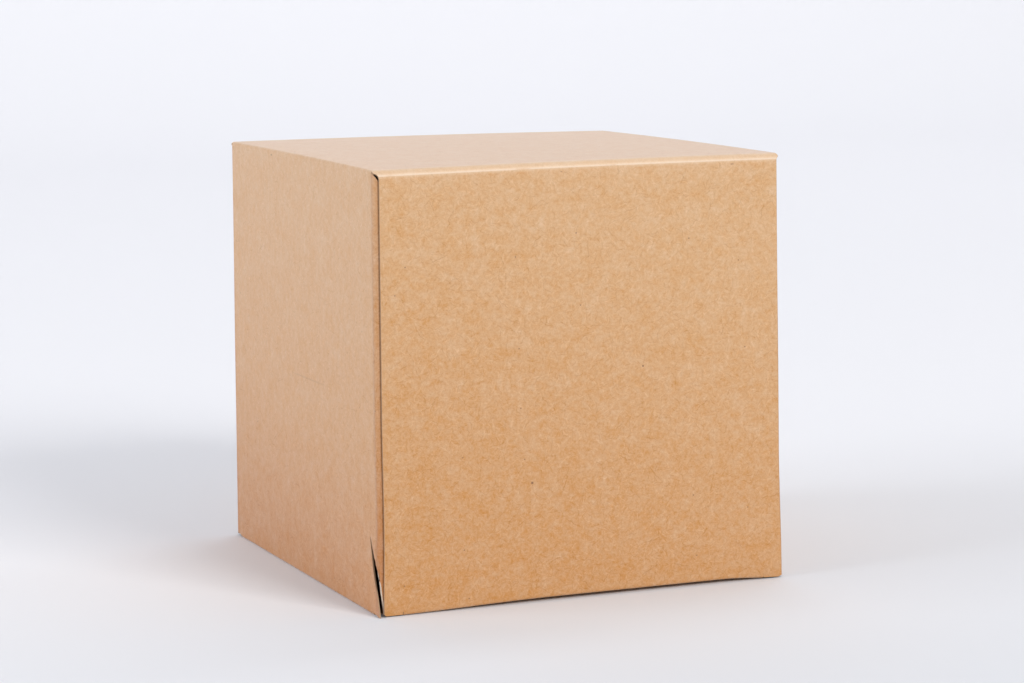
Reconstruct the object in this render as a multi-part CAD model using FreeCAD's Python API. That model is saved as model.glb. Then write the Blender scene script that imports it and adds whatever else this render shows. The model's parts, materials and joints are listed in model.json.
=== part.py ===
import FreeCAD, Part
import math
import os

from FreeCAD import Vector

# Tuck-end storage carton of thin kraft board with a slotted cell divider inside.
#
# Millimetres, +Z up. The origin is the middle of the footprint on the surface it rests on.
# The front closure faces -Y and the rear closure +Y. Both hinge on the top panel, so the
# carton is a straight-tuck one. One blank of board makes everything but the divider: its
# panels and flaps are separate solids here, joined by short bent strips at the creases.

# ---- driving dimensions ----
width = 133.0                 # across X, outside
depth = 133.0                 # along Y, outside, over both closures
height = 131.0                # along Z, outside
board = 0.5                   # thickness of the carton board
fold_outer = 0.8              # outer radius of the folds round the top, bottom and closures
dust_fold_outer = 1.0         # outer radius of the folds of the four dust flaps

# closures
closure_inset = 1.3           # from the side faces to a closure's cut side edges
hinge_setback = 1.5           # from a closure's hinge line back to the top panel's edge
hinge_drop = 0.3              # from the hinge line down to the closure panel itself
corner_relief = 2.2           # hole left at each top corner, where two creases meet

# tuck flaps
tuck_gap = 0.9                # from the floor up to the tuck fold
tuck_length = 15.0            # from the fold's axis to the flap's tip
tuck_lean = 5.0               # degrees that the flap leans up, so that its tip slides out freely
tuck_side_gap = 3.5           # from the side faces to the flap's side edges
tuck_corner = 9.0             # radius of the flap's two free corners
tuck_shoulder = 0.9           # from the fold out to where the flap widens
tuck_shoulder_slope = 0.3     # how far the widening edge leans towards the tip
slit_lock = 6.0               # slit at each end of the tuck fold

# dust flaps
dust_gap = 0.1                # between a closure's inner face and a dust flap
dust_setback = 1.0            # from a dust flap's hinge line back to the side panel's edge
dust_length = 45.0            # from the fold's axis to the flap's tip
dust_taper = 32.0             # degrees that the upper edge falls away from the hinge
dust_bottom = 4.0             # height of the lower edge, clear of the tuck flap
dust_lower_step = 3.0         # how much the lower edge rises at the tip
dust_corner = 6.0             # radius of the flap's two free corners
dust_root = 0.4               # flat part of the bent strip on the flap's side
dust_tab_gap = 0.4            # between a dust flap's lower edge and the side panel's tab under it

# glue flap, inside the right panel
glue_length = 15.0
glue_taper = 9.0              # how much shorter the free edge is at each end
right_panel_lift = 0.2        # the right panel's cut edge stands this far off the floor

# relief slit at the left panel's lower front corner
slit_foot_back = 1.9          # its foot, measured back from the front face
slit_top_back = 10.0
slit_top_up = 21.5
slit_belly_up = 8.0           # where it gapes most
slit_width = 0.9
slit_overcut = 0.5            # how far the cutting shape stands out past the board

# cell divider
cells = 5                     # cells along X and along Z
strip_board = 0.6
divider_depth = 96.0          # along Y
divider_gap = 0.3             # between the divider and the walls
slot_play = 0.15              # slot width over the strip's thickness

# ---- places that follow ----
half_width = width / 2
half_depth = depth / 2
closure_axis_y = -half_depth + fold_outer
closure_axis_z = height - fold_outer
tuck_axis_z = tuck_gap + fold_outer
closure_half = half_width - closure_inset
crease_half = closure_half - slit_lock
side_axis_x = half_width - fold_outer
side_axis_z = fold_outer
glue_axis_x = half_width - board - fold_outer
dust_axis_x = half_width - dust_fold_outer
dust_face_y = -half_depth + board + dust_gap
dust_axis_y = dust_face_y + dust_fold_outer
dust_top = height - fold_outer - corner_relief
panel_front_y = dust_axis_y + dust_setback
top_front_y = closure_axis_y + hinge_setback

X = Vector(1, 0, 0)
Y = Vector(0, 1, 0)
Z = Vector(0, 0, 1)


def rounded_wire(points, radii):
    """Closed wire through the points, with a tangent arc of the given radius at each corner."""
    edges = []
    ends = []
    count = len(points)
    for i, corner in enumerate(points):
        to_last = (points[i - 1] - corner).normalize()
        to_next = (points[(i + 1) % count] - corner).normalize()
        if radii[i] == 0:
            ends.append((corner, corner))
            continue
        half_angle = to_last.getAngle(to_next) / 2
        reach = radii[i] / math.tan(half_angle)
        middle = (to_last + to_next).normalize()
        nearest = radii[i] / math.sin(half_angle) - radii[i]
        start = corner + to_last * reach
        end = corner + to_next * reach
        ends.append((start, end))
        edges.append(Part.Arc(start, corner + middle * nearest, end).toShape())
    for i in range(count):
        start = ends[i][1]
        end = ends[(i + 1) % count][0]
        edges.append(Part.makeLine(start, end))
    return Part.Wire(Part.__sortEdges__(edges))


def plate(points, thickness, radii=None):
    """Flat board: the outline's face pushed by the thickness vector."""
    wire = rounded_wire(points, radii or [0] * len(points))
    return Part.Face(wire).extrude(thickness)


def box_between(low, high):
    """Rectangular board from its lowest to its highest corner."""
    size = high - low
    return Part.makeBox(size.x, size.y, size.z, low)


def bent_strip(centre, along, outward, run, radius, bend=90.0, leg_a=0.0, leg_b=0.0):
    """Board bent round a crease.

    The first leg starts at the centre and goes along, with its outer face a radius outward
    of the centre. The second leg leaves after the bend. run is the crease's length vector.
    """
    inner = radius - board
    turn = math.radians(bend)
    normal_b = outward * math.cos(turn) - along * math.sin(turn)
    along_b = along * -math.cos(turn) - outward * math.sin(turn)
    halfway = outward * math.cos(turn / 2) - along * math.sin(turn / 2)

    def arc(r):
        return Part.Arc(centre + outward * r, centre + halfway * r, centre + normal_b * r).toShape()

    start_out = centre + outward * radius + along * leg_a
    start_in = centre + outward * inner + along * leg_a
    end_out = centre + normal_b * radius + along_b * leg_b
    end_in = centre + normal_b * inner + along_b * leg_b
    edges = [arc(radius), arc(inner), Part.makeLine(start_in, start_out), Part.makeLine(end_out, end_in)]
    if leg_a:
        edges.append(Part.makeLine(start_out, centre + outward * radius))
        edges.append(Part.makeLine(centre + outward * inner, start_in))
    if leg_b:
        edges.append(Part.makeLine(centre + normal_b * radius, end_out))
        edges.append(Part.makeLine(end_in, centre + normal_b * inner))
    return Part.Face(Part.Wire(Part.__sortEdges__(edges))).extrude(run)


def mirrored(shape, axis):
    return shape.mirror(Vector(0, 0, 0), axis)


# ---- the tube: four panels, their folds and the glue flap ----

def top_panel():
    low = Vector(-side_axis_x, top_front_y, height - board)
    return box_between(low, Vector(side_axis_x, -top_front_y, height))


def bottom_panel():
    front_y = -half_depth + fold_outer
    low = Vector(-side_axis_x, front_y, 0)
    return box_between(low, Vector(glue_axis_x, -front_y, board))


def side_outline(x, low_z):
    """Outline of a side panel, with a small tab under each dust flap's crease."""
    tab_y = dust_face_y
    tab_z = dust_bottom - dust_tab_gap
    half = [(panel_front_y, closure_axis_z), (panel_front_y, tab_z), (tab_y, tab_z), (tab_y, low_z)]
    front = [Vector(x, y, z) for y, z in half]
    rear = [Vector(x, -y, z) for y, z in reversed(half)]
    return front + rear


def left_panel():
    panel = plate(side_outline(-half_width, side_axis_z), X * board)
    return panel.cut(corner_slit())


def corner_slit():
    """Narrow torn slit that leaves a wedge of board standing at the lower front corner."""
    foot_y = -half_depth + slit_foot_back
    top_y = -half_depth + slit_top_back
    belly = slit_belly_up / slit_top_up
    belly_y = foot_y + (top_y - foot_y) * belly
    outline = [
        (foot_y, -slit_overcut),
        (top_y, slit_top_up),
        (belly_y + slit_width, slit_belly_up),
        (foot_y + slit_width, -slit_overcut),
    ]
    points = [Vector(-half_width - slit_overcut, y, z) for y, z in outline]
    return plate(points, X * (board + 2 * slit_overcut))


def right_panel():
    return plate(side_outline(half_width - board, right_panel_lift), X * board)


def side_fold(corner_x, corner_z, inward_x, outward_z):
    """Fold along Y between a level panel and a side panel."""
    centre = Vector(corner_x, top_front_y, corner_z)
    return bent_strip(centre, inward_x, outward_z, Y * (-2 * top_front_y), fold_outer)


def glue_flap():
    x = half_width - 2 * board
    low_y = panel_front_y
    free_y = low_y + glue_taper
    outline = [(low_y, side_axis_z), (free_y, glue_length), (-free_y, glue_length), (-low_y, side_axis_z)]
    return plate([Vector(x, y, z) for y, z in outline], X * board)


# ---- a closure with its tuck flap and its two dust flaps, at the front end ----

def closure_crease():
    centre = Vector(-closure_half + corner_relief, closure_axis_y, closure_axis_z)
    run = X * (2 * (closure_half - corner_relief))
    return bent_strip(centre, Y, Z, run, fold_outer, leg_a=hinge_setback, leg_b=hinge_drop)


def closure_panel():
    top_z = closure_axis_z - hinge_drop
    crease_z = tuck_axis_z + hinge_drop
    y = -half_depth
    right = [(closure_half, top_z), (closure_half, tuck_gap), (crease_half, tuck_gap), (crease_half, crease_z)]
    outline = right + [(-x, z) for x, z in reversed(right)]
    return plate([Vector(x, y, z) for x, z in outline], Y * board)


def tuck_crease():
    centre = Vector(-crease_half, closure_axis_y, tuck_axis_z)
    bend = 90 + tuck_lean
    return bent_strip(centre, Z, -Y, X * (2 * crease_half), fold_outer, bend, hinge_drop, hinge_drop)


def tuck_flap():
    """Built level, then leaned up about the tuck fold."""
    half = half_width - tuck_side_gap
    root = hinge_drop
    shoulder_end = tuck_shoulder + tuck_shoulder_slope
    right = [(crease_half, root), (crease_half, tuck_shoulder), (half, shoulder_end), (half, tuck_length)]
    outline = [(-x, s) for x, s in reversed(right)] + right
    points = [Vector(x, closure_axis_y + s, tuck_gap) for x, s in outline]
    radii = [tuck_corner, 0, 0, 0, 0, 0, 0, tuck_corner]
    flap = plate(points, Z * board, radii)
    flap.rotate(Vector(0, closure_axis_y, tuck_axis_z), X, tuck_lean)
    return flap


def dust_crease():
    centre = Vector(-dust_axis_x, dust_axis_y, dust_bottom)
    run = Z * (dust_top - dust_bottom)
    return bent_strip(centre, Y, -X, run, dust_fold_outer, leg_a=dust_setback, leg_b=dust_root)


def dust_flap():
    root_x = -dust_axis_x + dust_root
    tip_x = -dust_axis_x + dust_length
    tip_top = dust_top - (tip_x - root_x) * math.tan(math.radians(dust_taper))
    tip_bottom = dust_bottom + dust_lower_step
    outline = [(root_x, dust_bottom), (tip_x, tip_bottom), (tip_x, tip_top), (root_x, dust_top)]
    points = [Vector(x, dust_face_y, z) for x, z in outline]
    return plate(points, Y * board, [0, dust_corner, dust_corner, 0])


def end_parts(end, place):
    """The nodes of one end. place puts a front-end shape at that end."""
    return {
        f"{end}_closure_crease": place(closure_crease()),
        f"{end}_closure_panel": place(closure_panel()),
        f"{end}_tuck_crease": place(tuck_crease()),
        f"{end}_tuck_flap": place(tuck_flap()),
        f"{end}_left_dust_crease": place(dust_crease()),
        f"{end}_left_dust_flap": place(dust_flap()),
        f"{end}_right_dust_crease": place(mirrored(dust_crease(), X)),
        f"{end}_right_dust_flap": place(mirrored(dust_flap(), X)),
    }


# ---- the divider: half-slotted strips pushed into each other ----

def cell_lines(low, high):
    """Middles of the strips that share the room from low to high out into equal cells."""
    pitch = (high - low) / cells
    return [low + pitch * (i + 1) for i in range(cells - 1)]


upright_xs = cell_lines(-half_width + board, half_width - board)
level_zs = cell_lines(board, height - board)


def slotted(strip, crossings, front):
    """Cuts the half-depth slots of one strip. crossings are the middles of its slots."""
    slot = strip_board + slot_play
    low_y, high_y = (-divider_depth, 0) if front else (0, divider_depth)
    for middle in crossings:
        low = Vector(middle.x - slot / 2, low_y, middle.z - slot / 2)
        high = Vector(middle.x + slot / 2, high_y, middle.z + slot / 2)
        strip = strip.cut(box_between(low, high))
    return strip


def divider_upright(x):
    """Strip across the height, slotted from the front."""
    low = Vector(x - strip_board / 2, -divider_depth / 2, board)
    high = Vector(x + strip_board / 2, divider_depth / 2, height - board - divider_gap)
    return slotted(box_between(low, high), [Vector(x, 0, z) for z in level_zs], True)


def divider_level(z):
    """Strip across the width, slotted from the rear."""
    half = half_width - 2 * board - divider_gap
    low = Vector(-half, -divider_depth / 2, z - strip_board / 2)
    high = Vector(half, divider_depth / 2, z + strip_board / 2)
    return slotted(box_between(low, high), [Vector(x, 0, z) for x in upright_xs], False)


def model():
    """Every node's name and solid."""
    nodes = {
        "top_panel": top_panel(),
        "bottom_panel": bottom_panel(),
        "left_panel": left_panel(),
        "right_panel": right_panel(),
        "glue_flap": glue_flap(),
        "top_left_fold": side_fold(-side_axis_x, closure_axis_z, X, Z),
        "top_right_fold": side_fold(side_axis_x, closure_axis_z, -X, Z),
        "bottom_left_fold": side_fold(-side_axis_x, side_axis_z, X, -Z),
        "glue_flap_fold": side_fold(glue_axis_x, side_axis_z, -X, -Z),
    }
    nodes.update(end_parts("front", lambda shape: shape))
    nodes.update(end_parts("rear", lambda shape: mirrored(shape, Y)))
    for number, x in enumerate(upright_xs, 1):
        nodes[f"divider_upright_{number}"] = divider_upright(x)
    for number, z in enumerate(level_zs, 1):
        nodes[f"divider_level_{number}"] = divider_level(z)
    return nodes


os.makedirs("parts", exist_ok=True)
for name, shape in model().items():
    solid = shape.Solids[0]
    if len(shape.Solids) != 1 or not solid.isValid():
        raise ValueError(f"{name} isn't one valid solid")
    solid.exportStep(f"parts/{name}.step")
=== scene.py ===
"""Looks for a kraft tuck-end carton with a slotted cell divider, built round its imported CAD.

Lengths are millimetres here and turn into metres when a mesh is made. Every piece of board
is cut flat in the coordinates of the carton's unfolded blank, (u, v), then folded into place.
The blank's coordinates stay on the mesh as the attribute "blank", which the materials read,
so the paper's fibres run on round each crease.
"""
import json
import math

import bmesh
import bpy
from mathutils import Matrix, Vector, noise


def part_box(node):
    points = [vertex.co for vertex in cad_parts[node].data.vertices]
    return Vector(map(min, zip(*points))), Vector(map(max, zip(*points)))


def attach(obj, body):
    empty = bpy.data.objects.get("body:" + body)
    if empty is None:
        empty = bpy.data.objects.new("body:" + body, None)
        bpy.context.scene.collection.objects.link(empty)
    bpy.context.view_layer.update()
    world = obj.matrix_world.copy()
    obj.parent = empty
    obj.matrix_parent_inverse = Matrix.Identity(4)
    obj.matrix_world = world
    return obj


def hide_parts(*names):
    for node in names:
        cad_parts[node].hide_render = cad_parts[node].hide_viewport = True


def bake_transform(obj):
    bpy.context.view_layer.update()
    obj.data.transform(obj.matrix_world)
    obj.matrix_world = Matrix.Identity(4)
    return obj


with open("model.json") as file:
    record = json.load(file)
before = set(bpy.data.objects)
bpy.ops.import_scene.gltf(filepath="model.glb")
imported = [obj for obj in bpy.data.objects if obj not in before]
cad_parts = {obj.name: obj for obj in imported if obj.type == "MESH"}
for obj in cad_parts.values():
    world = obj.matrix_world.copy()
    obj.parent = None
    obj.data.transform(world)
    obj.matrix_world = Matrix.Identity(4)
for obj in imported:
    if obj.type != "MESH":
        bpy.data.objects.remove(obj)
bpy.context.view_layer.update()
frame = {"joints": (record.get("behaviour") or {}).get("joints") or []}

MM = 0.001
TUBE = "tube"


def span(node):
    """Lowest and highest corner of a CAD node, in millimetres."""
    low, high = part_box(node)
    return low / MM, high / MM


# ---- places that the CAD gives ----
pivots = {joint["name"]: Vector(joint["pos_m"]) / MM for joint in frame["joints"]}
closure_pivot = pivots["front_closure_hinge"]
tuck_pivot = pivots["front_tuck_crease_hinge"]
top_low, top_high = span("top_panel")
left_low = span("left_panel")[0]
right_low = span("right_panel")[0]
glue_high = span("glue_flap")[1]
bottom_low, bottom_high = span("bottom_panel")
closure_low, closure_high = span("front_closure_panel")
tuck_high = span("front_tuck_flap")[1]
tuck_crease_high = span("front_tuck_crease")[1]
dust_low, dust_high = span("front_left_dust_flap")

board = top_high.z - top_low.z
height = top_high.z
half_x = -left_low.x
fold = height - closure_pivot.z            # outer radius of the body folds
quarter = math.pi / 2
fold_run = fold * quarter                  # length of such a fold on the outer face
side_top = top_high.x + fold_run           # |u| where the side panels begin
side_run = closure_pivot.z - fold          # height of the left panel
left_end = side_top + side_run
bottom_start = left_end + fold_run
bottom_run = bottom_high.x - bottom_low.x
glue_start = bottom_start + bottom_run + fold_run
tube_end = -top_low.y                      # |v| where the closures' creases begin
closure_fold = 1.9                         # the closures' folds are softer than the tube's
closure_flat = height - closure_fold       # z where a closure is flat again below its fold
closure_leg = -closure_low.y - closure_fold - tube_end
closure_start = tube_end + closure_leg + closure_fold * quarter   # |v| at closure_flat
closure_half = closure_high.x
closure_drift = 0.35                       # the closures hang a little to the right
corner_gap = 0.35                          # left between a closure's fold and a side panel
crease_half = side_top - corner_gap        # the closures' folds run on round the tube's corners
tuck_start = closure_start + closure_flat - tuck_crease_high.z
dust_crease_room = 2.0                     # the side boards stop this far before the CAD's
dust_start = -right_low.y - dust_crease_room   # |v| where the dust flaps' creases begin
dust_face = 65.75                          # |y| of the dust flaps' outer faces
dust_fold, dust_fold_tighter = 1.4, 0.5    # their folds' outer radius, and how much less lower down
tuck_lean = math.radians(5.0)
tuck_length = 15.0                         # from its fold to a tuck flap's tip
tuck_corner = 9.0                          # radius of its two free corners
dust_length = 47.0                         # from the crease's start to a dust flap's tip
dust_taper = math.radians(32.0)            # how steeply its upper edge falls away
dust_corner = 6.0                          # radius of its two free corners
foot_setback = 1.9                         # the bottom board's ends stay clear of the tuck folds
glue_taper = 9.0                           # how much the glue flap's free edge is set back
slot_play = 0.15                           # slot width over the divider strips' thickness

# ---- paper ----
rim = 0.07                                 # rounding of a cut edge
torn_pull, torn_ripple = 0.38, 0.12        # how far a torn edge's face is drawn back, and unevenly
sharp_angle = math.radians(32)             # faces that meet at more than this stay crisp
torn_slope = 0.24                          # how deep the slope of a torn edge reaches


def smooth(low, high, x):
    t = min(1.0, max(0.0, (x - low) / (high - low)))
    return t * t * (3 - 2 * t)


# ---- the carton's own small distortions ----
# In mm. The slides, twist and tilt are rounded values, guided by a fit to the box's edges.
across = Vector((0.87, -0.5, 0))           # the level way in which the racked carton slides
front_slide = 0.5                          # how far its front stands along that way
back_foot_slide = -0.6                     # how far the left side's far foot does
foot_share = 0.6                           # how much of that is gone again at the top
twist_near, twist_far = -1.7, 0.8          # the same for the top's right corners, over their feet
tilt_near, tilt_far = 0.5, -0.6            # how far those two corners rise
crush_line = [(-68, 0), (-60.5, 21), (-51, 36), (-40, 50)]   # (y, z) of the left side's soft crease
crush_slope, crush_most = 0.05, 0.28       # how it deepens in front of that crease, and where it stops
crown_rise, crown_drop = 0.3, 0.15         # the top's bulge, and how far all of it sits lower
flare_foot, flare_in = 0.75, 0.25          # the right side's spread at its foot, and its pull inwards
foot_middle_rise = 1.0                     # of the closures' lower edges, over their corners
foot_corner_drop = 0.75                    # how far those edges hang down at their corners


def along(line, z):
    """The first value of a line of (value, z) points at height z."""
    for (a, low), (b, high) in zip(line, line[1:]):
        if z <= high:
            return a + (b - a) * max(0.0, (z - low) / (high - low))
    return line[-1][0]


def crown(point):
    """The top bulges a little in the middle and drops at its corners."""
    bulge = 2 - (point.x / half_x) ** 2 - (point.y / half_x) ** 2
    return (crown_rise * bulge - crown_drop) * smooth(90, height, point.z)


def crushed(point):
    """How far the lower front corner of the left side is pushed in, in front of its soft crease."""
    if point.x > -60 or point.y > 0 or point.z > 58:
        return 0.0
    depth = max(0.0, along(crush_line, point.z) - point.y)
    return min(crush_slope * depth, crush_most) * smooth(56, 30, point.z) * smooth(-60, -64, point.x)


def foot_flare(point):
    """The right side spreads towards its foot."""
    return (flare_foot * smooth(42, 0, point.z) - flare_in) * smooth(20, 64, point.x)


def foot_bow(point):
    """The closures' lower edges hang low at their corners and rise between them."""
    middle = smooth(-64, -10, point.x) * smooth(66, 45, point.x)
    rise = foot_middle_rise * middle - foot_corner_drop
    return rise * smooth(12, 1, point.z) * smooth(64.5, 65.8, abs(point.y))


def settle(point):
    """Moves a point of the squared-up carton to where the slightly racked one has it."""
    right, back = (point.x + half_x) / (2 * half_x), (point.y + half_x) / (2 * half_x)
    up = point.z / height
    slide = front_slide * (1 - back) + back_foot_slide * (1 - right) * back * (1 - foot_share * up)
    slide += right * up * (twist_near * (1 - back) + twist_far * back)
    shift = across * slide
    shift.z = right * up * (tilt_near * (1 - back) + tilt_far * back)
    shift.x += crushed(point) + foot_flare(point)
    shift.z += crown(point) + foot_bow(point)
    return point + shift


def folded(start, heading, side, legs):
    """Where a bent board's outer face goes, in its own plane.

    legs are (straight run, outer radius, turn). The result takes (s, w): how far along the
    outer face and how deep under it.
    """
    def place(s, w):
        point, way = Vector(start), Vector(heading)
        for straight, radius, turn in legs:
            inward = Vector((-way.y, way.x)) * side
            if s <= straight:
                break
            s -= straight
            centre = point + way * straight + inward * radius
            angle = min(s / radius, turn)
            spin = Matrix.Rotation(angle * side, 2)
            if s < radius * turn:
                return centre - (spin @ inward) * (radius - w)
            s -= radius * turn
            way = spin @ way
            point = centre - Vector((-way.y, way.x)) * side * radius
        inward = Vector((-way.y, way.x)) * side
        return point + way * s + inward * w
    return place


tube_right = folded((0, height), (1, 0), -1, [(top_high.x, fold, quarter)])
tube_left = folded((0, height), (-1, 0), 1, [
    (top_high.x, fold, quarter), (side_run, fold, quarter), (bottom_run, fold, quarter)])


def tube_shape(u, v, w):
    x, z = tube_right(u, w) if u > 0 else tube_left(-u, w)
    return Vector((x, v, z))


closure_path = folded((-tube_end, height), (-1, 0), 1, [
    (closure_leg, closure_fold, quarter),
    (closure_flat - tuck_pivot.z, fold, quarter + tuck_lean)])


def closure_shape(u, v, w):
    """Closures and tuck flaps. Past the top panel's edge the fold follows the tube's own."""
    y, z = closure_path(abs(v) - tube_end, w)
    x, ridge = tube_right(abs(u), 0) if abs(u) > top_high.x else (abs(u), height)
    drift = closure_drift * smooth(tube_end + 1.0, closure_start + 1.0, abs(v))
    return Vector((math.copysign(x, u) + drift, math.copysign(y, v), z - (height - ridge)))


def dust_radius(z):
    """The dust flaps' creases are soft at the top and tighter lower down."""
    return dust_fold - dust_fold_tighter * smooth(110, 60, z)


def dust_shape(u, v, w):
    z = closure_pivot.z - (abs(u) - side_top)
    radius = dust_radius(z)
    straight = dust_face - dust_start - radius
    path = folded((-half_x, -dust_start), (0, -1), 1, [(straight, radius, quarter)])
    x, y = path(abs(v) - dust_start, w)
    return Vector((math.copysign(x, u), math.copysign(y, v), z))


# ---- cutting board to shape ----

def rounded(points, radii, steps=6):
    """The polygon's points with an arc of each given radius at each corner."""
    out = []
    for i, here in enumerate(points):
        here = Vector(here)
        if not radii[i]:
            out.append(here)
            continue
        back = (Vector(points[i - 1]) - here).normalized()
        ahead = (Vector(points[(i + 1) % len(points)]) - here).normalized()
        half = back.angle(ahead) / 2
        middle = here + (back + ahead).normalized() * (radii[i] / math.sin(half))
        first = here + back * (radii[i] / math.tan(half)) - middle
        sweep = first.angle_signed(here + ahead * (radii[i] / math.tan(half)) - middle)
        out += [middle + Matrix.Rotation(-sweep * k / steps, 2) @ first for k in range(steps + 1)]
    return out


def even(low, high, step):
    count = max(1, round((high - low) / step))
    return [low + (high - low) * i / count for i in range(1, count)]


def flat_grid(outline, cuts_u, cuts_v):
    """Vertices, faces and directed border edges of the outline cut along the given lines."""
    bm = bmesh.new()
    bm.faces.new([bm.verts.new((u, v, 0)) for u, v in outline])
    for axis, cuts in ((0, cuts_u), (1, cuts_v)):
        for place in cuts:
            at, normal = [0, 0, 0], [0, 0, 0]
            at[axis], normal[axis] = place, 1
            parts = bm.verts[:] + bm.edges[:] + bm.faces[:]
            bmesh.ops.bisect_plane(bm, geom=parts, dist=1e-4, plane_co=at, plane_no=normal)
    bm.normal_update()
    if sum(face.normal.z * face.calc_area() for face in bm.faces) < 0:
        bmesh.ops.reverse_faces(bm, faces=bm.faces[:])
    bm.verts.index_update()
    verts = [Vector(vert.co.xy) for vert in bm.verts]
    faces = [[vert.index for vert in face.verts] for face in bm.faces]
    border = [
        (loop.vert.index, loop.link_loop_next.vert.index)
        for face in bm.faces for loop in face.loops if len(loop.edge.link_faces) == 1]
    bm.free()
    return verts, faces, border


def sheet(name, outline, cuts_u, cuts_v, shape, joined, looks, thickness=board, torn=None):
    """One piece of board: two faces and a rounded rim.

    joined(u, v) is true on a line where the blank runs on into the next piece, so the rim
    isn't rounded there. torn(u, v) is true where the edge is torn, and feathers out.
    """
    flat, faces, border = flat_grid(outline, cuts_u, cuts_v)
    inward = {}
    for a, b in border:
        way = (flat[b] - flat[a]).normalized()
        middle = (flat[a] + flat[b]) / 2
        free = not joined(middle.x, middle.y)
        for vert in (a, b):
            inward.setdefault(vert, [])
            if free:
                inward[vert].append(Vector((-way.y, way.x)))
    points, blank, heights, rows, feathered = [], [], [], {}, set()

    def add(uv, w):
        point = shape(uv.x, uv.y, w)
        points.append(settle(point) * MM)
        blank.append((uv.x, uv.y, w))
        heights.append(point.z / height)
        return len(points) - 1

    for index, uv in enumerate(flat):
        if index not in inward:
            rows[index] = (add(uv, 0), add(uv, thickness))
            continue
        pull = Vector((0, 0))
        if inward[index]:
            total = sum(inward[index], Vector((0, 0)))
            pull = total / max(0.35, total.length_squared / len(inward[index])) * rim
            pull = pull if pull.length < 3 * rim else pull.normalized() * 3 * rim
        feather = bool(torn and inward[index] and torn(uv.x, uv.y))
        if feather:
            feathered.add(index)
            pull = pull.normalized() * (torn_pull + torn_ripple * noise.noise((uv.x * 1.3, uv.y * 1.3, 0)))
        depths = (0, torn_slope if feather else rim, thickness - rim, thickness)
        rows[index] = tuple(
            add(uv + pull * share, w) for share, w in zip((1, 0, 0, 0.2 if feather else 1), depths))
    polygons, kinds = [], []
    for face in faces:
        polygons += [[rows[i][0] for i in face], [rows[i][-1] for i in reversed(face)]]
        kinds += [0, 1]
    for a, b in border:
        for k in range(3):
            polygons.append([rows[b][k], rows[a][k], rows[a][k + 1], rows[b][k + 1]])
            kinds.append(3 if k == 0 and feathered >= {a, b} else 2)
    mesh = bpy.data.meshes.new(name)
    mesh.from_pydata(points, [], polygons)
    for material in looks:
        mesh.materials.append(material)
    mesh.polygons.foreach_set("material_index", kinds)
    attribute = mesh.attributes.new("blank", "FLOAT_VECTOR", "POINT")
    attribute.data.foreach_set("vector", [value for place in blank for value in place])
    mesh.attributes.new("made_height", "FLOAT", "POINT").data.foreach_set("value", heights)
    bm = bmesh.new()
    bm.from_mesh(mesh)
    bmesh.ops.recalc_face_normals(bm, faces=bm.faces[:])
    bm.to_mesh(mesh)
    bm.free()
    mesh.shade_smooth()
    mesh.set_sharp_from_angle(angle=sharp_angle)
    made = bpy.data.objects.new(name, mesh)
    bpy.context.scene.collection.objects.link(made)
    return made


# ---- materials ----

class Tree:
    """Short names for building one material's nodes."""

    def __init__(self, name):
        self.material = bpy.data.materials.new(name)
        self.material.use_nodes = True
        self.tree = self.material.node_tree
        self.shader = self.tree.nodes["Principled BSDF"]

    def node(self, kind, inputs=None, **settings):
        made = self.tree.nodes.new(kind)
        for key, value in settings.items():
            setattr(made, key, value)
        for key, value in (inputs or {}).items():
            self.feed(made.inputs[key], value)
        return made

    def feed(self, socket, value):
        if isinstance(value, bpy.types.NodeSocket):
            self.tree.links.new(value, socket)
        else:
            socket.default_value = value

    def math(self, operation, *values, clamp=False):
        made = self.node("ShaderNodeMath", dict(enumerate(values)), operation=operation)
        made.use_clamp = clamp
        return made.outputs[0]

    def vector(self, operation, *values):
        made = self.node("ShaderNodeVectorMath", dict(enumerate(values)), operation=operation)
        return made.outputs[0]

    def ramp(self, value, low, high, to_low=0.0, to_high=1.0):
        made = self.node("ShaderNodeMapRange", {
            "Value": value, "From Min": low, "From Max": high, "To Min": to_low, "To Max": to_high})
        made.interpolation_type = "SMOOTHSTEP"
        return made.outputs["Result"]

    def mix(self, share, a, b, blend="MIX"):
        made = self.node("ShaderNodeMix", data_type="RGBA", blend_type=blend)
        self.feed(made.inputs[0], share)
        self.feed(made.inputs[6], a)
        self.feed(made.inputs[7], b)
        return made.outputs[2]

    def noise(self, place, size, detail=2.0, rough=0.5, distortion=0.0):
        """Noise whose blotches are about size across."""
        return self.node("ShaderNodeTexNoise", {
            "Vector": place, "Scale": 1 / size, "Detail": detail, "Roughness": rough,
            "Distortion": distortion}).outputs["Fac"]

    def separate(self, vector):
        return self.node("ShaderNodeSeparateXYZ", {"Vector": vector}).outputs

    def fibres(self, place, cell, length, width, seed):
        """One thin curved fibre in each Voronoi cell, each turned its own way, 0 to 1."""
        moved = self.vector("ADD", place, (seed * 31.7, seed * 17.3, 0))
        cells = self.node("ShaderNodeTexVoronoi", {"Vector": moved, "Scale": 1 / cell},
                          voronoi_dimensions="2D", feature="F1")
        chance = self.node("ShaderNodeSeparateColor", {"Color": cells.outputs["Color"]}).outputs
        local = self.vector("SUBTRACT", moved, cells.outputs["Position"])
        turned = self.node("ShaderNodeVectorRotate", {
            "Vector": local, "Angle": self.math("MULTIPLY", chance[0], math.tau)},
            rotation_type="Z_AXIS").outputs[0]
        along, across, _ = self.separate(turned)
        bend = self.math("MULTIPLY", self.math("SUBTRACT", chance[1], 0.5), 0.7 / length)
        bow = self.math("MULTIPLY", self.math("MULTIPLY", along, along), bend)
        off = self.math("ABSOLUTE", self.math("ADD", across, bow))
        far = self.math("ABSOLUTE", along)
        body = self.ramp(off, width * 0.9, width * 0.25)
        ends = self.ramp(far, length / 2, length / 2 - 0.25 * length)
        strength = self.ramp(chance[2], 0.1, 1.0)
        return self.math("MULTIPLY", self.math("MULTIPLY", body, ends), strength)


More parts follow.
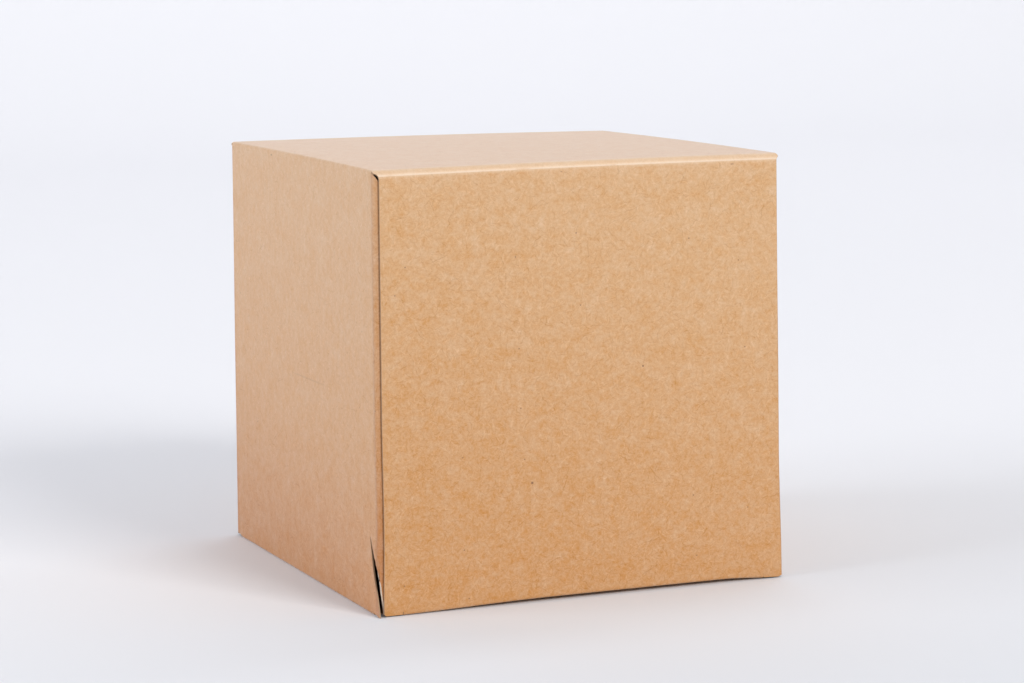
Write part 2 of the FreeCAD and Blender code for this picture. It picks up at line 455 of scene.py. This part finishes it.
FINE = (0.88, 0.73, 0.56)                  # how fibres and mottles lighten the paper
BROAD = (0.42, 0.86, 1.0)                  # how its paler patches differ: less red, more white
speck_spacing = 19.0                       # size of the cells that may each hold a random speck
highlight_ends, highlight_full = 66.9, 66.0            # |u| where the painted highlight on the closures' folds stops and where it is full
low_shade_top, low_shade_foot = 62.0, -6.0     # heights where the painted shade on the left side's lower part fades out and is full


def from_z(z):
    """|u| of a height on a side panel."""
    return side_top + closure_pivot.z - z


def kraft(name, tint, contrast=1.0, rough=0.44, marks=(), painted_light_and_shade=False):
    """Unbleached kraft board: random fibres, mottling, paler patches, specks and a paper tooth.

    marks are single flecks: (u, v, half width, half height, strength). The switch after them adds painted
    light and shade:
    a painted highlight along the closures' folds, painted shade on the dust flaps' creases where the
    closures' edges overhang them, and painted shade over the lower part of the left side.
    """
    t = Tree(name)
    place = t.node("ShaderNodeAttribute", attribute_name="blank").outputs["Vector"]
    wobble = t.node("ShaderNodeTexNoise", {"Vector": place, "Scale": 0.5, "Detail": 1.0}).outputs["Color"]
    sway = t.vector("MULTIPLY", t.vector("SUBTRACT", wobble, (0.5,) * 3), (1.6, 1.6, 0))
    bent = t.vector("ADD", place, sway)
    drift = t.noise(place, 8.0, 3.0, 0.6)
    patches = t.noise(place, 2.6, 2.0, 0.6)
    mottle = t.noise(bent, 0.9, 2.0, 0.7)
    grain = t.noise(bent, 0.36, 1.0, 0.5)
    dark = t.math("MAXIMUM", t.fibres(bent, 2.3, 3.4, 0.22, 1), t.fibres(bent, 3.4, 4.6, 0.20, 2))
    pale = t.math("MAXIMUM", t.fibres(bent, 2.1, 3.2, 0.22, 3), t.fibres(bent, 3.0, 4.2, 0.24, 4))
    hair = t.fibres(bent, 9.0, 7.0, 0.2, 5)

    def share(value, amount):
        return t.math("MULTIPLY", t.math("SUBTRACT", value, 0.5), amount * contrast)
    fine = t.math("ADD", share(mottle, 0.16), share(grain, 0.14))
    fine = t.math("ADD", fine, t.math("MULTIPLY", pale, 0.055 * contrast))
    fine = t.math("SUBTRACT", fine, t.math("MULTIPLY", dark, 0.065 * contrast))
    fine = t.math("SUBTRACT", fine, t.math("MULTIPLY", hair, 0.09 * contrast))
    broad = t.math("ADD", share(patches, 0.15), share(drift, 0.12))
    broad = t.math("ADD", broad, share(mottle, 0.09))

    def tinted(amount, colour):
        made = t.node("ShaderNodeVectorMath", {0: colour, "Scale": amount}, operation="SCALE")
        return made.outputs[0]
    colour = t.vector("ADD", tint["base"], t.vector("ADD", tinted(fine, FINE), tinted(broad, BROAD)))
    # Painted light: the board is paler towards its top and a little towards its right, and darker and more
    # saturated towards its foot, standing in for light falling off towards the floor.
    up_the_side = t.node("ShaderNodeAttribute", attribute_name="made_height").outputs["Fac"]
    rightward = t.ramp(t.separate(place)[0], -half_x, half_x, -0.08, 0.12)
    painted_falloff = t.math("SUBTRACT", t.ramp(t.math("ADD", up_the_side, rightward), -0.15, 1.15), 0.5)
    colour = t.vector("ADD", colour, tinted(painted_falloff, (0.06, 0.085, 0.072)))
    spots = t.node("ShaderNodeTexVoronoi", {"Vector": place, "Scale": 1 / speck_spacing},
                   voronoi_dimensions="2D", feature="F1")
    dot = t.ramp(t.math("MULTIPLY", spots.outputs["Distance"], speck_spacing), 0.32, 0.12)
    chosen = t.ramp(t.separate(spots.outputs["Color"])[0], 0.74, 0.82)
    speck = t.math("MULTIPLY", dot, chosen)
    speck = t.math("MULTIPLY", speck, 0.6)
    for u, v, long_u, long_v, strength in marks:
        off = t.vector("MULTIPLY", t.vector("SUBTRACT", place, (u, v, 0)), (1 / long_u, 1 / long_v, 0))
        far = t.node("ShaderNodeVectorMath", {0: off}, operation="LENGTH").outputs["Value"]
        speck = t.math("MAXIMUM", speck, t.ramp(far, 1.2, 0.5, 0.0, strength))
    if painted_light_and_shade:
        up, across = (t.math("ABSOLUTE", t.separate(place)[axis]) for axis in (0, 1))
        # Painted highlight: a pale line where each closure's fold meets its flat face, and a paler band over
        # the whole fold.
        from_fold = t.math("ABSOLUTE", t.math("SUBTRACT", across, closure_start - 0.3))
        fold_line = t.ramp(from_fold, 0.42, 0.1)
        inside = t.ramp(up, highlight_ends, highlight_full)
        fold_highlight = t.math("MULTIPLY", t.math("MULTIPLY", fold_line, inside), t.ramp(drift, 0.25, 0.5, 0.45, 1.0))
        fold_band_highlight = t.math("MULTIPLY", t.ramp(across, tube_end - 0.6, tube_end + 0.8),
                           t.ramp(across, closure_start + 0.9, closure_start - 0.5, 0.0, 0.4))
        on_board = t.ramp(up, side_top + 0.2, side_top - 0.6)
        fold_highlight = t.math("MAXIMUM", t.math("MULTIPLY", fold_highlight, 0.75), t.math("MULTIPLY", fold_band_highlight, on_board))
        colour = t.mix(fold_highlight, colour, (0.78, 0.62, 0.46, 1))
        # Painted shade: the dust flaps' creases are darkened and reddened where the closures' edges overhang
        # them.
        seam_shade = t.math("MULTIPLY", t.ramp(across, dust_start - 0.5, dust_start + 0.6),
                         t.ramp(up, side_top - 0.1, side_top + 0.3))
        seam_shade = t.math("MULTIPLY", seam_shade, t.ramp(across, dust_start + 5.5, dust_start + 2.5, 0.0, 0.8))
        colour = t.mix(seam_shade, colour, t.vector("MULTIPLY", colour, (0.86, 0.79, 0.79)))
        # Painted shade: the left side darkens and grows more saturated towards its foot.
        low_side_shade = t.ramp(t.separate(place)[0], -from_z(low_shade_top), -from_z(low_shade_foot), 0.0, 0.85)
        colour = t.vector("SUBTRACT", colour, tinted(low_side_shade, (0.048, 0.060, 0.034)))
    colour = t.mix(speck, colour, tint["speck"])
    relief = t.math("ADD", t.math("MULTIPLY", mottle, 0.5), t.math("MULTIPLY", grain, 0.35))
    relief = t.math("ADD", relief, t.math("MULTIPLY", pale, 0.25))
    bump = t.node("ShaderNodeBump", {"Strength": 0.25, "Distance": 0.00012, "Height": relief})
    t.feed(t.shader.inputs["Normal"], bump.outputs[0])
    t.feed(t.shader.inputs["Base Color"], colour)
    t.feed(t.shader.inputs["Roughness"], t.ramp(mottle, 0.2, 0.8, rough - 0.05, rough + 0.07))
    t.shader.inputs["IOR"].default_value = 1.5
    t.shader.inputs["Sheen Weight"].default_value = 0.245
    t.shader.inputs["Sheen Roughness"].default_value = 0.45
    return t.material


def cut_edge(name, pale, deep):
    """The cut side of a board: lighter, with its plies showing as fine lines."""
    t = Tree(name)
    place = t.node("ShaderNodeAttribute", attribute_name="blank").outputs["Vector"]
    plies = t.noise(t.vector("MULTIPLY", place, (0.5, 0.5, 9.0)), 1.0, 3.0, 0.7)
    nicks = t.noise(place, 0.6, 3.0, 0.7)
    share = t.ramp(t.math("ADD", t.math("MULTIPLY", plies, 0.6), t.math("MULTIPLY", nicks, 0.4)), 0.3, 0.7)
    t.feed(t.shader.inputs["Base Color"], t.mix(share, deep, pale))
    bump = t.node("ShaderNodeBump", {"Strength": 0.5, "Distance": 0.0001, "Height": share})
    t.feed(t.shader.inputs["Normal"], bump.outputs[0])
    t.feed(t.shader.inputs["Roughness"], t.ramp(nicks, 0.2, 0.8, 0.75, 0.9))
    return t.material


def on_front(x, z):
    """Blank coordinates of a place on the front closure."""
    return x, -(closure_start + closure_flat - z)


# (x or u, z or v, half width, half height, strength) of the flecks that can be seen in the photo
front_marks = [(-17.8, 36.3, 0.45, 0.45, 0.75), (19.0, 68.9, 0.3, 0.35, 0.8), (-22.5, 103.8, 0.25, 0.4, 0.5),
               (51.8, 99.1, 0.3, 0.25, 0.45), (49.9, 128.2, 0.7, 0.2, 0.5), (-7.3, 128.1, 0.35, 0.2, 0.4)]
left_marks = [(-from_z(62.6), -7.6, 0.3, 17.0, 0.16), (-from_z(129.2), 24.6, 0.3, 0.9, 0.5)]
all_marks = [(*on_front(x, z), *rest) for x, z, *rest in front_marks] + left_marks
outer_tint = {"base": (0.570, 0.316, 0.142), "speck": (0.13, 0.055, 0.025, 1)}
outer_kraft = kraft("kraft_outer", outer_tint, marks=all_marks, painted_light_and_shade=True)
inner_kraft = kraft("kraft_inner", {"base": (0.55, 0.30, 0.145), "speck": (0.12, 0.05, 0.02, 1)}, 1.1, 0.6)
kraft_edge = cut_edge("kraft_edge", (0.46, 0.29, 0.17, 1), (0.31, 0.18, 0.10, 1))
kraft_torn = cut_edge("kraft_torn", (0.64, 0.54, 0.44, 1), (0.50, 0.40, 0.30, 1))
chip_face = kraft("chipboard_face", {"base": (0.34, 0.30, 0.25), "speck": (0.06, 0.05, 0.04, 1)}, 1.0, 0.65)
chip_edge = cut_edge("chipboard_edge", (0.38, 0.35, 0.31, 1), (0.24, 0.21, 0.17, 1))
kraft_looks = (outer_kraft, inner_kraft, kraft_edge, kraft_torn)
chip_looks = (chip_face, chip_face, chip_edge)

# ---- the tube ----
coarse = 7.0
fold_cuts = [top_high.x + fold_run * i / 6 for i in range(7)]


def arc_cuts(start, run, count=6):
    return [start + run * i / count for i in range(count + 1)]


def signed(values, sign):
    return [value * sign for value in values]


def never(u, v):
    return False


def near(value, *places):
    return any(abs(value - place) < 1e-3 for place in places)


def add_top():
    end = tube_end
    tip = [(crease_half, end), (crease_half + 0.15, end + 0.5), (side_top, end + 0.6)]
    outline = [(-u, -v) for u, v in tip[::-1]] + [(u, -v) for u, v in tip]
    outline += [(u, v) for u, v in tip[::-1]] + [(-u, v) for u, v in tip]

    def joined(u, v):
        return near(abs(u), side_top) or near(abs(v), end)
    cuts_u = signed(fold_cuts, -1) + even(-top_high.x, top_high.x, coarse) + fold_cuts
    cuts_v = [-dust_start, dust_start] + even(-end, end, coarse)
    made = sheet("top_board", outline, cuts_u, cuts_v, tube_shape, joined, kraft_looks)
    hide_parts("top_panel", "top_left_fold", "top_right_fold")
    return made


def add_left():
    """The left side, with the tear at its lower front corner."""
    tear = [(63.9, 15.4), (62.6, 17.2), (61.1, 20.0), (59.9, 22.8),           # (|y|, z), up to the tip
            (61.0, 17.8), (61.9, 14.4), (62.8, 11.4), (64.0, 8.3),            # and down to the foot
            (65.3, 5.3), (66.2, 2.9), (66.7, 1.3), (66.8, fold)]
    outline = [(-from_z(z), -v) for v, z in tear]
    outline += [(-left_end, dust_start), (-side_top, dust_start), (-side_top, -dust_start)]

    def joined(u, v):
        return near(-u, side_top) or near(abs(v), dust_start) or (near(-u, left_end) and abs(v) < dust_start)
    cuts_u = signed(even(side_top, from_z(56), coarse) + even(from_z(56), left_end, 3.0), -1)
    cuts_v = even(-dust_start, -38, 2.6) + even(-38, dust_start, coarse)

    def rough(u, v):
        below_tip = from_z(22.9) < -u < from_z(15.2)
        return below_tip and v < 0 and -v - 59.8 > 0.42 * (-u - from_z(22.8))
    made = sheet("left_board", outline, cuts_u, cuts_v, tube_shape, joined, kraft_looks, torn=rough)
    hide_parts("left_panel")
    return made


def add_right():
    far = from_z(right_low.z)
    outline = [(side_top, -dust_start), (far, -dust_start), (far, dust_start), (side_top, dust_start)]

    def joined(u, v):
        return near(u, side_top) or near(abs(v), dust_start)
    made = sheet("right_board", outline, even(side_top, far, coarse), even(-dust_start, dust_start, coarse),
                 tube_shape, joined, kraft_looks)
    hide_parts("right_panel")
    return made


def add_bottom():
    end = dust_start - foot_setback
    near_edge, far_edge = left_end, bottom_start + bottom_run
    outline = [(-near_edge, -end), (-near_edge, end), (-far_edge, end), (-far_edge, -end)]

    def joined(u, v):
        return near(-u, near_edge, far_edge)
    cuts_u = signed(arc_cuts(near_edge, fold_run) + even(bottom_start, far_edge, coarse), -1)
    made = sheet("bottom_board", outline, cuts_u, even(-end, end, coarse), tube_shape, joined, kraft_looks)
    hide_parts("bottom_panel", "bottom_left_fold")
    return made


def add_glue():
    start = bottom_start + bottom_run
    tip = glue_start + glue_high.z - fold
    end, free_end = dust_start - foot_setback, dust_start - glue_taper
    outline = [(-start, -end), (-start, end), (-glue_start, end), (-tip, free_end), (-tip, -free_end),
               (-glue_start, -end)]

    def joined(u, v):
        return near(-u, start)
    cuts_u = signed(arc_cuts(start, fold_run) + even(glue_start, tip, coarse), -1)
    cuts_v = even(-tube_end, tube_end, coarse)
    made = sheet("glue_board", outline, cuts_u, cuts_v, tube_shape, joined, kraft_looks)
    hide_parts("glue_flap", "glue_flap_fold")
    return made


# ---- the two ends ----

def at_end(sign, points):
    """Front-end outline, with |v| as the second coordinate, put at that end of the blank."""
    return [(u, v * sign) for u, v in points]


def add_closure(end, sign):
    """A closure and its fold, whose ends run on as ears round the tube's corners."""
    half = closure_half
    lock = tuck_crease_high.x
    foot = closure_start + closure_flat - closure_low.z
    shoulder = [(crease_half, 0), (crease_half, 1.2), (crease_half - 0.1, 1.8), (crease_half - 0.5, 2.3),
                (half + 0.55, 2.7), (half + 0.15, 3.3), (half, 4.2)]
    right = [(u, tube_end + s) for u, s in shoulder] + [(half, foot), (lock, foot), (lock, tuck_start)]
    points = right + [(-u, v) for u, v in reversed(right)]
    radii = [0] * len(shoulder) + [1.1, 0, 0]
    outline = at_end(sign, rounded(points, radii + radii[::-1]))
    arc = arc_cuts(tube_end + closure_leg, closure_fold * quarter, 8)
    cuts_v = signed(arc + even(closure_start, foot - 12, coarse) + even(foot - 12, foot, 2.4), sign)

    def joined(u, v):
        return near(abs(v), tube_end) or (near(abs(v), tuck_start) and abs(u) < lock)
    ear_cuts = [u for u in fold_cuts if u < crease_half]
    cuts_u = signed(ear_cuts, -1) + even(-half, half, 5.0) + ear_cuts
    made = sheet(f"{end}_closure_board", outline, cuts_u, cuts_v, closure_shape, joined, kraft_looks)
    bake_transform(made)
    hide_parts(f"{end}_closure_panel", f"{end}_closure_crease")
    return made


def add_tuck(end, sign):
    lock = tuck_crease_high.x
    half = tuck_high.x
    arc_start = closure_start + closure_flat - tuck_pivot.z
    flat_start = arc_start + fold * (quarter + tuck_lean)
    tip = flat_start + tuck_length
    right = [(lock, tuck_start), (lock, flat_start + 0.9), (half, flat_start + 1.2), (half, tip)]
    points = right + [(-u, v) for u, v in reversed(right)]
    outline = rounded(at_end(sign, points), [0, 0, 0, tuck_corner, tuck_corner, 0, 0, 0])
    cuts_v = signed(arc_cuts(arc_start, flat_start - arc_start) + even(flat_start, tip, 4.0), sign)

    def joined(u, v):
        return near(abs(v), tuck_start)
    cuts_u = even(-half, half, 5.0)
    made = sheet(f"{end}_tuck_board", outline, cuts_u, cuts_v, closure_shape, joined, kraft_looks)
    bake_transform(made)
    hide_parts(f"{end}_tuck_flap", f"{end}_tuck_crease")
    return made


def add_dust(end, sign, side, turn):
    """A dust flap and its crease. The lower end of the front left one's crease is torn off."""
    low, high = dust_low.z, dust_high.z
    tip = dust_start + dust_length
    shoulder_back, shoulder_top = 3.8, 126.6
    tip_top = shoulder_top - (dust_length - shoulder_back) * math.tan(dust_taper)
    tip_foot = (dust_length, low + 3.0)
    torn = end == "front" and side == "left"
    top_edge = [(0, closure_pivot.z), (0.7, closure_pivot.z - 0.1), (1.2, 129.85), (1.6, 129.5), (2.1, 129.0),
                (2.6, 128.4), (3.1, 127.6), (shoulder_back, shoulder_top), (dust_length, tip_top)]
    foot_edge = [tip_foot, (4.6, low), (3.5, 1.4), (3.1, 1.3), (2.95, 3.4), (2.6, 6.2), (2.1, 9.2),
                 (1.5, 11.9), (0.8, 13.9), (0, 15.4)]
    if not torn:
        foot_edge = [tip_foot, (4.4, low), (3.6, 2.4), (2.4, 1.2), (0, 0.9)]
    points = [(from_z(z), dust_start + s) for s, z in top_edge + foot_edge]
    count = len(points)
    radii = [dust_corner if i in (len(top_edge) - 1, len(top_edge)) else 0 for i in range(count)]
    outline = at_end(sign, [(u * turn, v) for u, v in rounded(points, radii)])
    cuts_v = signed([dust_start + 0.3 * i for i in range(1, 11)] + even(dust_start + 4, tip, coarse), sign)
    cuts_u = signed(even(from_z(high), from_z(low), coarse), turn)

    def joined(u, v):
        return near(abs(v), dust_start)

    def rough(u, v):
        return torn and 0.1 < abs(v) - dust_start < 3.4 and from_z(16) < abs(u)
    made = sheet(f"{end}_{side}_dust_board", outline, cuts_u, cuts_v, dust_shape, joined, kraft_looks,
                 torn=rough)
    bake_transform(made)
    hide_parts(f"{end}_{side}_dust_flap", f"{end}_{side}_dust_crease")
    return made


# ---- the cell divider ----

def slot_outline(long_low, long_high, depth_half, crossings, slot, from_front):
    """A strip's outline with a half-depth slot at each crossing."""
    edge = -depth_half if from_front else depth_half
    points = [(long_low, edge)]
    for middle in crossings:
        near_side, far_side = middle - slot / 2, middle + slot / 2
        points += [(near_side, edge), (near_side, 0), (far_side, 0), (far_side, edge)]
    points += [(long_high, edge), (long_high, -edge), (long_low, -edge)]
    return points


def add_divider():
    numbers = range(1, 5)
    uprights = [span(f"divider_upright_{n}") for n in numbers]
    levels = [span(f"divider_level_{n}") for n in numbers]
    xs = [(low.x + high.x) / 2 for low, high in uprights]
    zs = [(low.z + high.z) / 2 for low, high in levels]
    made = []
    for n in numbers:
        low, high = uprights[n - 1]
        strip = high.x - low.x
        slot = strip + slot_play
        outline = slot_outline(low.z, high.z, high.y, zs, slot, True)

        def upright(u, v, w, x=high.x):
            return Vector((x - w, v, u))
        made.append(sheet(f"divider_upright_board_{n}", outline, even(low.z, high.z, 12), [0], upright, never,
                          chip_looks, strip))
        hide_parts(f"divider_upright_{n}")
        low, high = levels[n - 1]
        outline = slot_outline(low.x, high.x, high.y, xs, slot, False)

        def level(u, v, w, z=high.z):
            return Vector((u, v, z - w))
        made.append(sheet(f"divider_level_board_{n}", outline, even(low.x, high.x, 12), [0], level, never,
                          chip_looks, strip))
        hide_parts(f"divider_level_{n}")
    return made


for piece in (add_top(), add_left(), add_right(), add_bottom(), add_glue()):
    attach(piece, TUBE)
for piece in add_divider():
    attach(piece, TUBE)
for end_name, end_sign in (("front", -1), ("rear", 1)):
    add_closure(end_name, end_sign)
    add_tuck(end_name, end_sign)
    for side_name, side_sign in (("left", -1), ("right", 1)):
        add_dust(end_name, end_sign, side_name, side_sign)

# ---- floor, lights and camera ----

def add_sweep():
    """Plain pale paper sweep that curves up into a backdrop, with painted shade darkening it towards the
    viewer.
    """
    near_edge, back, radius, top, half = -3.0, 1.6, 0.9, 3.4, 3.5
    profile = [(near_edge, 0.0), (-1.0, 0.0), (0.3, 0.0), (back, 0.0)]
    profile += [(back + radius * math.sin(a), radius - radius * math.cos(a))
                for a in (quarter * i / 14 for i in range(1, 15))]
    profile.append((back + radius, top))
    points = [(x, y, z) for x in (-half, half) for y, z in profile]
    count = len(profile)
    faces = [(i, i + count, i + count + 1, i + 1) for i in range(count - 1)]
    mesh = bpy.data.meshes.new("sweep")
    mesh.from_pydata(points, [], faces)
    mesh.shade_smooth()
    t = Tree("sweep_paper")
    place = t.node("ShaderNodeTexCoord").outputs["Object"]
    cloud = t.noise(place, 0.5, 2.0)
    paper = t.mix(cloud, (0.845, 0.85, 0.875, 1), (0.855, 0.855, 0.882, 1))
    # Painted shade: the floor darkens towards the viewer.
    nearness = t.ramp(t.separate(place)[1], 0.3, -0.5)
    t.feed(t.shader.inputs["Base Color"], t.mix(nearness, paper, (0.675, 0.70, 0.74, 1)))
    t.shader.inputs["Roughness"].default_value = 0.85
    t.shader.inputs["Specular IOR Level"].default_value = 0.2
    mesh.materials.append(t.material)
    made = bpy.data.objects.new("sweep", mesh)
    bpy.context.scene.collection.objects.link(made)


def add_softbox(name, place, target, size, watts, colour):
    data = bpy.data.lights.new(name, "AREA")
    data.shape = "RECTANGLE"
    data.size, data.size_y = size
    data.energy = watts
    data.color = colour
    made = bpy.data.objects.new(name, data)
    made.location = place
    made.rotation_euler = (Vector(target) - Vector(place)).to_track_quat("-Z", "Y").to_euler()
    bpy.context.scene.collection.objects.link(made)


# name, place, what it faces, size, watts, colour
LIGHTS = [
    ("key", (0.9, -2.6, 1.55), (0, 0, 0.06), (1.2, 1.0), 61.0, (1.0, 0.985, 0.965)),
    ("side", (-2.4, 0.1, 0.9), (0, 0, 0.06), (1.6, 1.4), 33.5, (0.925, 0.955, 1.0)),
    ("back", (1.4, 0.9, 2.6), (1.4, 2.3, 1.0), (3.0, 1.2), 26.0, (0.985, 0.985, 1.0)),
]
WORLD = 0.48

add_sweep()
for light in LIGHTS:
    add_softbox(*light)

world = bpy.data.worlds.new("studio")
world.use_nodes = True
world.node_tree.nodes["Background"].inputs[0].default_value = (0.95, 0.96, 1.0, 1)
world.node_tree.nodes["Background"].inputs[1].default_value = WORLD
bpy.context.scene.world = world
bpy.context.scene.view_settings.view_transform = "Standard"

# The photo's viewing angle, place and lens, found by fitting a camera to the box's edges.
yaw, pitch, roll = (math.radians(a) for a in (22.90, -7.975, -0.35))
camera_place = (-0.3557, -0.8533, 0.1987)
lens = 103.2
ahead = Vector((math.sin(yaw) * math.cos(pitch), math.cos(yaw) * math.cos(pitch), math.sin(pitch)))
level_right = Vector((math.cos(yaw), -math.sin(yaw), 0))
level_up = level_right.cross(ahead)
right = level_right * math.cos(roll) + level_up * math.sin(roll)
up = right.cross(ahead)
camera = bpy.data.objects.new("camera", bpy.data.cameras.new("camera"))
turned = Matrix((right, up, -ahead)).transposed().to_4x4()
camera.matrix_world = Matrix.Translation(camera_place) @ turned
camera.data.lens = lens
camera.data.sensor_width = 36.0
camera.data.clip_start = 0.05
bpy.context.scene.collection.objects.link(camera)
bpy.context.scene.camera = camera
